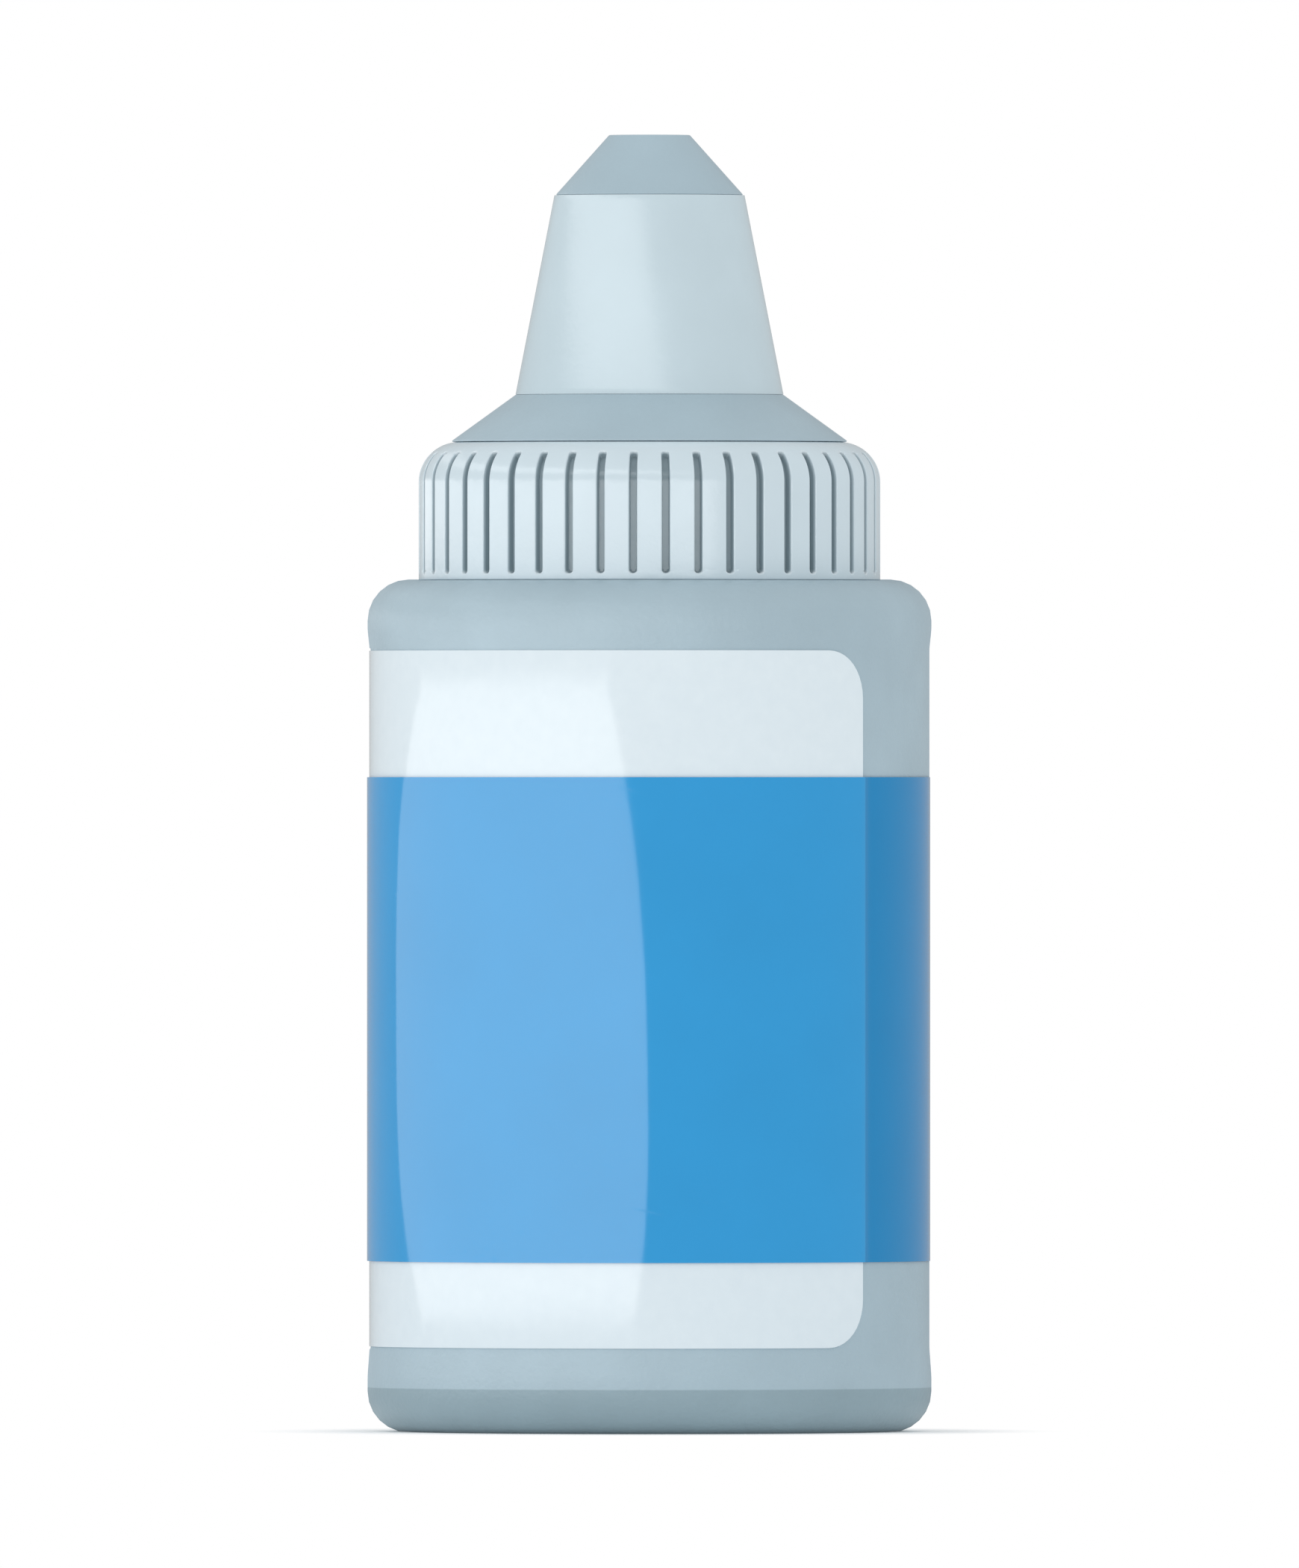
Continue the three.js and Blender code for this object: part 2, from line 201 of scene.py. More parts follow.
body_corners = [
    (RING_RADIUS, 0, 0.4),
    (body_radius, 0, 2),
    (body_radius, panel_foot - 1.4, 6),
    (PANEL_RADIUS, panel_foot, 6),
    (PANEL_RADIUS, panel_head, 3),
    (body_radius, panel_head + 0.95, 3),
    (body_radius, shoulder_top, 2),
    (NECK_RADIUS, shoulder_top, NECK_FILLET),
    (NECK_RADIUS, neck_top, NECK_RIM_ROUND),
    (NECK_BORE_RADIUS, neck_top, NECK_RIM_ROUND),
    (NECK_BORE_RADIUS, CEILING, 0.4),
    (INNER_RADIUS, CEILING, 1.6),
    (INNER_RADIUS, FLOOR_THICKNESS, 1.6),
    (RING_RADIUS, FLOOR_THICKNESS, 0),
]
under_dome = dome(0, range(DOME_STEPS))
inner_dome = dome(FLOOR_THICKNESS, range(DOME_STEPS - 1, -1, -1))
body_points = under_dome + outline(body_corners)[1:] + inner_dome
bottle = turned(split_rows(body_points, shoulder_top, neck_top, NECK_ROW), columns=16)

wall_foot = shoulder_top + NECK_FILLET
wall_head = neck_top - NECK_RIM_ROUND
thread_middle = NECK_THREAD_LEVEL + thread_pitch * NECK_THREAD_TURNS / 2


def along_thread(spot):
    """Height of a spot on the neck's wall once the rows near its middle wind up with the thread."""
    height = spot.z / MM
    turn = math.atan2(spot.y, spot.x) / math.tau % 1
    way_back = NECK_THREAD_TURNS * (1 - turn) / (1 - NECK_THREAD_TURNS)
    climb = thread_pitch * (min(turn, way_back) - NECK_THREAD_TURNS / 2)
    from_foot = (height - wall_foot) / (thread_middle - THREAD_FOOT / 2 - wall_foot)
    from_head = (wall_head - height) / (wall_head - thread_middle - THREAD_FOOT / 2)
    return height + climb * min(from_foot, from_head, 1)


for vert in bottle.verts:
    radius = math.hypot(vert.co.x, vert.co.y) / MM
    if abs(radius - NECK_RADIUS) < 0.01 and vert.co.z > shoulder_top * MM:
        vert.co.z = along_thread(vert.co) * MM
        rise = thread_rise(vert.co, NECK_THREAD_LEVEL, 0, NECK_THREAD_TURNS, NECK_THREAD_HEIGHT)
        vert.co.xy *= (radius + rise) / radius

for side in (-PARTING_HALF_WIDTH, PARTING_HALF_WIDTH):
    bmesh.ops.bisect_plane(
        bottle, geom=bottle.verts[:] + bottle.edges[:] + bottle.faces[:], dist=MERGE_DISTANCE,
        plane_co=(0, side * MM, 0), plane_no=(0, 1, 0),
    )
bottle.normal_update()
for vert in bottle.verts:
    radius = abs(vert.co.x) / MM
    height = vert.co.z / MM
    under_label = vert.co.x < 0 and panel_foot < height < panel_head
    base = PARTING_RISE < height < FLOOR_THICKNESS - PARTING_RISE
    wall = radius > PANEL_RADIUS - 0.4 and height > PARTING_RISE
    top = height > CEILING + 0.6 and radius > NECK_RADIUS - 0.5 and height < neck_top - 0.4
    if abs(vert.co.y) < MERGE_DISTANCE and (base or wall or top) and not under_label:
        vert.co += vert.normal * PARTING_RISE * MM


def add(tree, kind, inputs=None, **settings):
    """A node with its settings, and with each input set to a value or linked from a socket."""
    node = tree.nodes.new(kind)
    for name, value in settings.items():
        setattr(node, name, value)
    for socket, value in (inputs or {}).items():
        if isinstance(value, bpy.types.NodeSocket):
            tree.links.new(value, node.inputs[socket])
        else:
            node.inputs[socket].default_value = value
    return node


def object_spot(tree):
    """The place on the piece, in metres."""
    return add(tree, "ShaderNodeTexCoord").outputs["Object"]


def maths(tree, operation, *values):
    """The result of an operation on numbers or sockets."""
    return add(tree, "ShaderNodeMath", dict(enumerate(values)), operation=operation).outputs[0]


def noise(tree, spot, scale, detail):
    """Soft noise between 0 and 1."""
    inputs = {"Vector": spot, "Scale": scale, "Detail": detail}
    return add(tree, "ShaderNodeTexNoise", inputs).outputs["Fac"]


def ramp(tree, value, low, high):
    """A share that goes from 0 to 1 as a value goes from low to high."""
    inputs = {"Value": value, "From Min": low, "From Max": high}
    return add(tree, "ShaderNodeMapRange", inputs).outputs["Result"]


def blend(tree, share, first, second):
    """A mix of two colours."""
    inputs = {"Fac": share, "Color1": first, "Color2": second}
    return add(tree, "ShaderNodeMixRGB", inputs).outputs["Color"]


def colour(code):
    """A colour written as six hexadecimal digits, in linear light."""
    channels = [int(code[i:i + 2], 16) / 255 for i in (0, 2, 4)]
    return [((c + 0.055) / 1.055) ** 2.4 for c in channels] + [1]


def effect(name, inputs, outputs):
    """A new shader node group with named sockets, its input node and its output node."""
    tree = bpy.data.node_groups.new(name, "ShaderNodeTree")
    for socket, kind in inputs.items():
        tree.interface.new_socket(socket, in_out="INPUT", socket_type=kind)
    for socket, kind in outputs.items():
        tree.interface.new_socket(socket, in_out="OUTPUT", socket_type=kind)
    return tree, tree.nodes.new("NodeGroupInput"), tree.nodes.new("NodeGroupOutput")


def finish(name, **settings):
    """A new material with its node tree and shader, and the settings that are the same all over."""
    material = bpy.data.materials.new(name)
    material.use_nodes = True
    shader = material.node_tree.nodes["Principled BSDF"]
    for socket, value in settings.items():
        shader.inputs[socket.replace("_", " ")].default_value = value
    return material, material.node_tree, shader


# Skin of a moulded plastic: soft clouds in its tint and a fine grain in its gloss and surface.
FLOAT = "NodeSocketFloat"
COLOUR = "NodeSocketColor"
moulded_skin, given, result = effect(
    "moulded_skin",
    {"Colour": COLOUR, "Clouding": FLOAT, "Roughness": FLOAT, "Grain": FLOAT},
    {"Colour": COLOUR, "Roughness": FLOAT, "Height": FLOAT},
)
spot = object_spot(moulded_skin)
clouds = noise(moulded_skin, spot, scale=190, detail=3)
grain = noise(moulded_skin, spot, scale=3200, detail=2)
centred = maths(moulded_skin, "SUBTRACT", clouds, 0.5)
lift = maths(moulded_skin, "MULTIPLY_ADD", centred, given.outputs["Clouding"], 1)
tinted = add(
    moulded_skin, "ShaderNodeVectorMath", {0: given.outputs["Colour"], "Scale": lift}, operation="SCALE"
)
roughened = maths(
    moulded_skin, "MULTIPLY_ADD", grain, given.outputs["Grain"], given.outputs["Roughness"]
)
moulded_skin.links.new(tinted.outputs["Vector"], result.inputs["Colour"])
moulded_skin.links.new(roughened, result.inputs["Roughness"])
moulded_skin.links.new(grain, result.inputs["Height"])

# Edges that hands have rubbed: a mask that is strongest on tight convex edges and broken up by blotches.
rubbed_edges, given, result = effect("rubbed_edges", {"Amount": FLOAT}, {"Mask": FLOAT})
bend = add(rubbed_edges, "ShaderNodeAttribute", attribute_name="edge_bend").outputs["Fac"]
edge = ramp(rubbed_edges, bend, low=3, high=9)
blotches = noise(rubbed_edges, object_spot(rubbed_edges), scale=900, detail=4)
broken = maths(rubbed_edges, "MULTIPLY", edge, blotches)
rubbed = maths(rubbed_edges, "MULTIPLY", broken, given.outputs["Amount"])
rubbed_edges.links.new(rubbed, result.inputs["Mask"])

# Hairline scuffs from handling: sparse fine streaks at a slant, in patches.
handling_scuffs, given, result = effect(
    "handling_scuffs", {"Slant": FLOAT, "Amount": FLOAT}, {"Mask": FLOAT}
)
spot = object_spot(handling_scuffs)
slanted = add(
    handling_scuffs, "ShaderNodeVectorRotate",
    {"Vector": spot, "Axis": (0, 1, 0), "Angle": given.outputs["Slant"]}, rotation_type="AXIS_ANGLE",
)
stretched = add(
    handling_scuffs, "ShaderNodeVectorMath", {0: slanted.outputs["Vector"], 1: (5200, 5200, 160)},
    operation="MULTIPLY",
)
hairs = noise(handling_scuffs, stretched.outputs["Vector"], scale=1, detail=1)
patches = noise(handling_scuffs, spot, scale=140, detail=2)
thin = ramp(handling_scuffs, hairs, low=0.66, high=0.72)
patchy = ramp(handling_scuffs, patches, low=0.45, high=0.65)
scuffed = maths(handling_scuffs, "MULTIPLY", thin, patchy)
weighed = maths(handling_scuffs, "MULTIPLY", scuffed, given.outputs["Amount"])
handling_scuffs.links.new(weighed, result.inputs["Mask"])


def place(tree, group, **inputs):
    """A shader node group placed in a material with its own values."""
    return add(tree, "ShaderNodeGroup", inputs, node_tree=group)


def coat(tree, shader, tint, roughness, height, relief):
    """Links a colour, a roughness and a height to a shader. The relief is in millimetres."""
    bump = add(tree, "ShaderNodeBump", {"Height": height, "Distance": relief * MM})
    tree.links.new(tint, shader.inputs["Base Color"])
    tree.links.new(roughness, shader.inputs["Roughness"])
    tree.links.new(bump.outputs["Normal"], shader.inputs["Normal"])


def moulded_finish(name, tint, clouding, roughness, grain, relief, rub, **settings):
    """A moulded plastic: its skin, with pale rubbed edges, on a shader with the given settings.
    The tint is a function that gives a colour or a socket of the new material's tree."""
    material, tree, shader = finish(name, **settings)
    skin = place(
        tree, moulded_skin, Colour=tint(tree), Clouding=clouding, Roughness=roughness, Grain=grain
    )
    wear = place(tree, rubbed_edges, Amount=rub)
    worn = blend(tree, wear.outputs["Mask"], skin.outputs["Colour"], RUBBED_COLOUR)
    coat(tree, shader, worn, skin.outputs["Roughness"], skin.outputs["Height"], relief)
    return material


RUBBED_COLOUR = colour("f2f7fa")
# On the bottle, this grey where the label leaves it bare stands in for the shade round the lit side:
# painted shade.
GREY_PLASTIC = colour("a9bfca")
HEEL_PAINTED_SHADE = colour("91a8b2")
HEEL_HEIGHT = 2.2
HEEL_BLUR = 0.03


def bottle_tint(tree):
    """Blue-grey, with painted shade darkening the heel below a crisp line."""
    height = add(tree, "ShaderNodeSeparateXYZ", {"Vector": object_spot(tree)}).outputs["Z"]
    # Painted shade: the heel below this line is darker, as if shaded where the bottle curves under.
    above = ramp(tree, height, (HEEL_HEIGHT - HEEL_BLUR) * MM, (HEEL_HEIGHT + HEEL_BLUR) * MM)
    return blend(tree, above, HEEL_PAINTED_SHADE, GREY_PLASTIC)


bottle_plastic = moulded_finish(
    "bottle_plastic", bottle_tint, clouding=0.22, roughness=0.38, grain=0.16, relief=0.03, rub=0.25,
    IOR=1.5, Specular_IOR_Level=0.4,
)
bottle_shell = piece_from(bottle, "bottle_shell", bottle_plastic)
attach(bottle_shell, "bottle")
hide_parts("bottle_body")

# Ear drops: a clear watery liquid inside the bottle, with a meniscus that climbs the wall a little.
LIQUID_RADIUS = 12.6
_, liquid_foot, liquid_level = extent("ear_drop_liquid")
MENISCUS_RISE = 0.5
MENISCUS_CURVE = 6
MENISCUS_STEPS = 12
surface = []
for step in range(MENISCUS_STEPS, -1, -1):
    share = step / MENISCUS_STEPS
    height = liquid_level - MENISCUS_RISE * (1 - share**MENISCUS_CURVE)
    surface.append(Vector((LIQUID_RADIUS * share, height)))
liquid_corners = [
    (0, liquid_foot, 0),
    (LIQUID_RADIUS, liquid_foot, 1.6),
    (LIQUID_RADIUS, liquid_level, 0),
]
liquid_points = dome(liquid_foot, range(DOME_STEPS + 1)) + outline(liquid_corners)[1:-1] + surface
clear_drops, tree, shader = finish("clear_drops", IOR=1.34, Transmission_Weight=1.0, Roughness=0.02)
haze = noise(tree, object_spot(tree), scale=120, detail=2)
watery = blend(tree, haze, colour("dfeef5"), colour("eef7fb"))
tree.links.new(watery, shader.inputs["Base Color"])
ear_drops = piece_from(turned(liquid_points), "ear_drops", clear_drops)
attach(ear_drops, "bottle")
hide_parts("ear_drop_liquid")

# Wrap label: pale paper with a gloss laminate, die-cut with round corners and rolled on to the panel.
# It is bare of print. Its two ends stop short of each other, so a strip of bottle shows at the side. The
# pale label stands in for the bottle's lit side, and that grey strip of bottle for its shaded side:
# painted light and painted shade.
LABEL_RADIUS = 13.97
LABEL_THICKNESS = 0.06
LABEL_CORNER = 2.4
# The label's end at the right is where the painted light of the label gives way to the painted shade of
# the bare bottle.
LABEL_END = math.radians(49.4)
LABEL_SPAN = math.radians(280)
COLUMN_ANGLE = math.radians(1.5)


def rolled(name, first, last, low, high, corner, radius_at, cuts, thickness, material):
    """A flat blank with round corners, rolled on to the bottle between two angles from the front.
    The blank is a cylinder's unrolled sheet, with angles as its widths, until it is rolled."""
    blank = bmesh.new()
    squash = MM * radius_at(0)
    ends = ((first, low), (last, low), (last, high), (first, high))
    corners = [blank.verts.new((angle * squash, 0, height * MM)) for angle, height in ends]
    blank.faces.new(corners)
    if corner:
        bmesh.ops.bevel(
            blank, geom=corners, offset=corner * MM, offset_type="OFFSET", affect="VERTICES",
            segments=10, profile=0.5, material=-1,
        )
    columns = math.ceil((last - first) / COLUMN_ANGLE)
    angles = [first + (last - first) * i / columns for i in range(1, columns)] + cuts
    for angle in angles:
        bmesh.ops.bisect_plane(
            blank, geom=blank.verts[:] + blank.edges[:] + blank.faces[:], dist=MERGE_DISTANCE,
            plane_co=(angle * squash, 0, 0), plane_no=(1, 0, 0),
        )
    for vert in blank.verts:
        angle = vert.co.x / squash
        radius = radius_at(angle) * MM
        vert.co.xy = (radius * math.sin(angle), -radius * math.cos(angle))
    blank.normal_update()
    bmesh.ops.solidify(blank, geom=blank.faces[:], thickness=thickness * MM)
    return piece_from(blank, name, material)


LAMINATE_ROUGHNESS = 0.07
LAMINATE_RELIEF = 0.006
label_gloss, tree, shader = finish("label_gloss", IOR=1.5)
spot = object_spot(tree)
fibres = noise(tree, spot, scale=1400, detail=5)
# The paper's pale tone stands in for the bottle's lit side: painted light.
paper = blend(tree, fibres, colour("deebf2"), colour("e5f1f7"))
scuffs = place(tree, handling_scuffs, Slant=0.35, Amount=0.14)
gloss = maths(tree, "ADD", scuffs.outputs["Mask"], LAMINATE_ROUGHNESS)
coat(tree, shader, paper, gloss, noise(tree, spot, scale=260, detail=2), LAMINATE_RELIEF)
label_wrap = rolled(
    "label_wrap", LABEL_END - LABEL_SPAN, LABEL_END, label_foot, label_head, LABEL_CORNER,
    lambda angle: LABEL_RADIUS, [], LABEL_THICKNESS, label_gloss,
)
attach(label_wrap, "bottle")
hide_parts("label_panel")

# Film band: a translucent blue film stretched round the bottle over the label, lapped at the back.
# It dips past the label's ends, and between them, over the bare bottle at the right side, its blue is
# darker: painted shade.
band_radius, band_foot, band_head = extent("label_band")
FILM_THICKNESS = 0.05
FILM_DROP = 0.09
FILM_DRAPE = math.radians(1.6)
FILM_LAP = math.radians(3)
LAP_CLIMB = FILM_LAP / 4
LAP_CLEARANCE = 0.02
FILM_RELIEF = 0.008
LABEL_FAR_END = LABEL_END - LABEL_SPAN + math.tau


def film_radius(angle):
    """Outer radius of the film at an angle from the front, with its drape and its lap."""
    into_gap = min(angle - LABEL_END, LABEL_FAR_END - angle) / FILM_DRAPE
    drop = min(max(into_gap, 0), 1)
    climb = min(max((angle - math.pi) / LAP_CLIMB, 0), 1)
    return band_radius - FILM_DROP * drop + (FILM_THICKNESS + LAP_CLEARANCE) * climb


drape_cuts = []
for share in (0, 0.25, 0.5, 0.75, 1):
    drape_cuts.append(LABEL_END + FILM_DRAPE * share)
    drape_cuts.append(LABEL_FAR_END - FILM_DRAPE * share)
    drape_cuts.append(math.pi + LAP_CLIMB * share)

blue_film, tree, shader = finish("blue_film", IOR=1.5)
spot = object_spot(tree)
axes = add(tree, "ShaderNodeSeparateXYZ", {"Vector": spot})
towards_front = maths(tree, "MULTIPLY", axes.outputs["Y"], -1)
angle = maths(tree, "ARCTAN2", axes.outputs["X"], towards_front)
# Painted shade: the film's blue is darker between the label's ends, on the bottle's right side.
past_end = ramp(tree, angle, LABEL_END, LABEL_END + FILM_DRAPE / 3)
before_far_end = ramp(tree, angle, LABEL_FAR_END, LABEL_FAR_END - FILM_DRAPE / 3)
painted_shade_side = maths(tree, "MULTIPLY", past_end, before_far_end)
blue = blend(tree, painted_shade_side, colour("2e9bd8"), colour("0a85c0"))
dye = place(tree, moulded_skin, Colour=blue, Clouding=0.1, Roughness=0.05, Grain=0.03)
streaks = place(tree, handling_scuffs, Slant=1.35, Amount=0.12)
gloss = maths(tree, "ADD", streaks.outputs["Mask"], dye.outputs["Roughness"])
coat(tree, shader, dye.outputs["Colour"], gloss, noise(tree, spot, scale=200, detail=1), FILM_RELIEF)
film_wrap = rolled(
    "film_wrap", -math.pi, math.pi + FILM_LAP, band_foot, band_head, 0, film_radius, drape_cuts,
    FILM_THICKNESS, blue_film,
)
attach(film_wrap, "bottle")
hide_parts("label_band")

# Dropper nozzle: one moulding of blue-grey polyethylene. Its plug seals in the neck, and its bead snaps
# under the collar's lip. Its cone shoulder sits on the collar, and its spout ends in a fine orifice.
_, plug_foot, spout_top = extent("dropper_nozzle")
_, cap_foot, cap_top = extent("nozzle_cap")
shoulder_foot = collar_top + 0.01
shoulder_head = cap_foot - 0.05
LIP_UNDERSIDE = 47.7
PLUG_RADIUS = 6.45
PLUG_BORE_RADIUS = 5.55
STEM_RADIUS = 6.9
SNAP_BEAD = 0.45
CONE_FOOT_RADIUS = 9.92
CONE_HEAD_RADIUS = 6.68
SPIGOT_RADIUS = 5.43
SPOUT_BORE_RADIUS = 3.2
ORIFICE_RADIUS = 0.6
spigot_top = shoulder_head + 2.6
nozzle_corners = [
    (PLUG_BORE_RADIUS, plug_foot, 0.2),
    (PLUG_RADIUS - 0.3, plug_foot, 0.12),
    (PLUG_RADIUS, plug_foot + 0.3, 0.2),
    (PLUG_RADIUS, LIP_UNDERSIDE - 0.65, 0.1),
    (STEM_RADIUS, LIP_UNDERSIDE - 0.65, 0.05),
    (STEM_RADIUS + SNAP_BEAD, LIP_UNDERSIDE - 0.35, 0.1),
    (STEM_RADIUS, LIP_UNDERSIDE - 0.05, 0.05),
    (STEM_RADIUS, shoulder_foot, 0.1),
    (CONE_FOOT_RADIUS, shoulder_foot, 0.04),
    (CONE_HEAD_RADIUS, shoulder_head, 0.03),
    (SPIGOT_RADIUS, shoulder_head, 0.2),
    (SPIGOT_RADIUS, spigot_top, 0.3),
    (4.3, spigot_top, 0.4),
    (1.7, spout_top - 0.6, 0.35),
    (1.1, spout_top, 0.25),
    (ORIFICE_RADIUS, spout_top, 0.12),
    (ORIFICE_RADIUS, spout_top - 1.6, 0.2),
    (SPOUT_BORE_RADIUS, spigot_top, 0.5),
    (SPOUT_BORE_RADIUS, shoulder_head, 0.5),
    (PLUG_BORE_RADIUS, shoulder_foot, 0.5),
]
nozzle_plastic = moulded_finish(
    "nozzle_plastic", lambda tree: GREY_PLASTIC, clouding=0.18, roughness=0.34, grain=0.12,
    relief=0.02, rub=0.2, IOR=1.5, Specular_IOR_Level=0.4,
)
nozzle = turned(split_rows(outline(nozzle_corners), plug_foot, spout_top, 0.3), closed=True)
dropper_spout = piece_from(nozzle, "dropper_spout", nozzle_plastic)
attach(dropper_spout, "nozzle")
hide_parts("dropper_nozzle")

# Sealing washer: a die-cut ring of closed-cell foam between the neck's rim and the collar's lip.
# It is a little pressed, so its edges are round.
washer_radius, washer_foot, washer_top = extent("sealing_washer")
WASHER_HOLE_RADIUS = 7.6
WASHER_ROUND = 0.12
FOAM_RELIEF = 0.03
washer_corners = [
    (WASHER_HOLE_RADIUS, washer_foot, WASHER_ROUND),
    (washer_radius, washer_foot, WASHER_ROUND),
    (washer_radius, washer_top, WASHER_ROUND),
    (WASHER_HOLE_RADIUS, washer_top, WASHER_ROUND),
]
cell_foam, tree, shader = finish("cell_foam", IOR=1.45, Specular_IOR_Level=0.25)
cells = add(tree, "ShaderNodeTexVoronoi", {"Vector": object_spot(tree), "Scale": 7000})
bulge = cells.outputs["Distance"]
foam = blend(tree, bulge, colour("dfe5e6"), colour("f0f4f4"))
matt = add(tree, "ShaderNodeMapRange", {"Value": bulge, "To Min": 0.7, "To Max": 0.9})
coat(tree, shader, foam, matt.outputs["Result"], bulge, FOAM_RELIEF)
foam_ring = piece_from(turned(outline(washer_corners), closed=True), "foam_ring", cell_foam)
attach(foam_ring, "nozzle")
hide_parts("sealing_washer")

# Screw collar: pale moulded polypropylene with a round shoulder and forty-four round-ended grip slots.
# Its lip turns on the nozzle's stem, and one thread ridge inside runs in the neck's thread.
GRIP_SLOTS = 44
SLOT_COLUMNS = 12
SLOT_DEPTH = 0.38
SLOT_FLOOR = 0.155
SLOT_WALL = 0.205
SLOT_LIP = 0.25
LIP_SHARE = 0.1
COLUMN_PLACES = (0, 0.085, SLOT_FLOOR, SLOT_WALL, SLOT_LIP, 0.55)
END_ROWS = (0, 0.06, 0.11, 0.15, 0.18, 0.21, 0.25, 0.3)
COLLAR_ROUND = 2
COLLAR_ARC_STEPS = 24
COLLAR_ROW = 0.17
BORE_RADIUS = 10.1
LIP_HOLE_RADIUS = 7.15
COLLAR_THREAD_START = 0.47
COLLAR_THREAD_STOP = 1.28
COLLAR_THREAD_HEIGHT = 0.95
collar_thread_level = NECK_THREAD_LEVEL - thread_pitch / 2
collar_rest = shoulder_top + 0.015
round_level = collar_top - COLLAR_ROUND
round_radius = collar_radius - COLLAR_ROUND
slot_foot = collar_foot + 0.33
slot_head = math.asin((collar_top - 0.65 - round_level) / COLLAR_ROUND)


def cut_rows(points, levels):
    """Adds a point wherever an outline crosses one of the levels."""
    rows = [points[0]]
    for before, after in zip(points, points[1:]):
        low, high = sorted((before.y, after.y))
        crossed = [level for level in levels if low + 0.005 < level < high - 0.005]
        shares = [(level - before.y) / (after.y - before.y) for level in crossed]
        rows += [before.lerp(after, share) for share in sorted(shares)] + [after]
    return rows


def slot_sink(distance):
    """Share of a slot's depth at a distance from its spine: flat floor, steep wall and worn lip."""
    if distance < SLOT_FLOOR:
        return 1
    if distance < SLOT_WALL:
        return 1 - (1 - LIP_SHARE) * (distance - SLOT_FLOOR) / (SLOT_WALL - SLOT_FLOOR)
    return max(LIP_SHARE * (SLOT_LIP - distance) / (SLOT_LIP - SLOT_WALL), 0)


collar_corners = [
    (BORE_RADIUS + 0.35, collar_rest, 0.1),
    (collar_radius, collar_rest, 0.06),
    (collar_radius, collar_top, COLLAR_ROUND),
    (LIP_HOLE_RADIUS, collar_top, 0.12),
    (LIP_HOLE_RADIUS, LIP_UNDERSIDE, 0.12),
    (BORE_RADIUS, LIP_UNDERSIDE, 0.3),
    (BORE_RADIUS, collar_foot + 0.35, 0.1),
]
foot_levels = [slot_foot - row for row in END_ROWS]
head_angles = [slot_head + row / COLLAR_ROUND for row in END_ROWS]
head_levels = [round_level + COLLAR_ROUND * math.sin(angle) for angle in head_angles]
collar_outline = outline(collar_corners, COLLAR_ARC_STEPS)
collar_points = split_rows(collar_outline, collar_rest, collar_top, COLLAR_ROW)
collar_points = cut_rows(collar_points, foot_levels + head_levels)
collar = turned(collar_points, GRIP_SLOTS, SLOT_COLUMNS, closed=True)
slot_share = collar.verts.layers.float.new("slot_share")
column_angle = math.tau / (GRIP_SLOTS * SLOT_COLUMNS)
for vert in collar.verts:
    radius = math.hypot(vert.co.x, vert.co.y) / MM
    height = vert.co.z / MM
    if abs(radius - BORE_RADIUS) < 0.01:
        rise = thread_rise(
            vert.co, collar_thread_level, COLLAR_THREAD_START, COLLAR_THREAD_STOP, COLLAR_THREAD_HEIGHT
        )
        vert.co.xy *= (radius - rise) / radius
        continue
    from_round = Vector((radius - round_radius, height - round_level))
    on_wall = radius > collar_radius - 0.001 and height < round_level + 0.001
    on_round = min(from_round) > 0 and abs(from_round.length - COLLAR_ROUND) < 0.003
    column = round(math.atan2(vert.co.y, vert.co.x) / column_angle)
    slot = math.floor(column / SLOT_COLUMNS) + 0.5
    step = column - slot * SLOT_COLUMNS
    side = int(abs(step))
    if not (on_wall or on_round) or side >= len(COLUMN_PLACES):
        continue
    past_foot = slot_foot - height
    past_head = COLLAR_ROUND * (math.atan2(from_round.y, from_round.x) - slot_head)
    share = slot_sink(math.hypot(COLUMN_PLACES[side], max(past_foot, past_head, 0)))
    inward = Vector((-1, 0)) if on_wall else -from_round.normalized()
    sunk = Vector((radius, height)) + inward * SLOT_DEPTH * share
    aside = math.copysign(COLUMN_PLACES[side], step) / collar_radius
    angle = slot * SLOT_COLUMNS * column_angle + aside
    vert.co = Vector((sunk.x * math.cos(angle), sunk.x * math.sin(angle), sunk.y)) * MM
    vert[slot_share] = share

SLOT_PAINTED_SHADE = colour("93a5ad")
COLLAR_PALE = colour("d0e0e8")


def collar_tint(tree):
    """Pale, with painted shade on the slots' floors, darker with their depth."""
    depth = add(tree, "ShaderNodeAttribute", attribute_name="slot_share").outputs["Fac"]
    return blend(tree, ramp(tree, depth, low=0.05, high=0.5), COLLAR_PALE, SLOT_PAINTED_SHADE)


collar_plastic = moulded_finish(
    "collar_plastic", collar_tint, clouding=0.16, roughness=0.16, grain=0.07,
    relief=0.01, rub=0.4, IOR=1.5,
)
collar.normal_update()
ribbed_collar = piece_from(collar, "ribbed_collar", collar_plastic)
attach(ribbed_collar, "collar")
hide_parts("screw_collar")

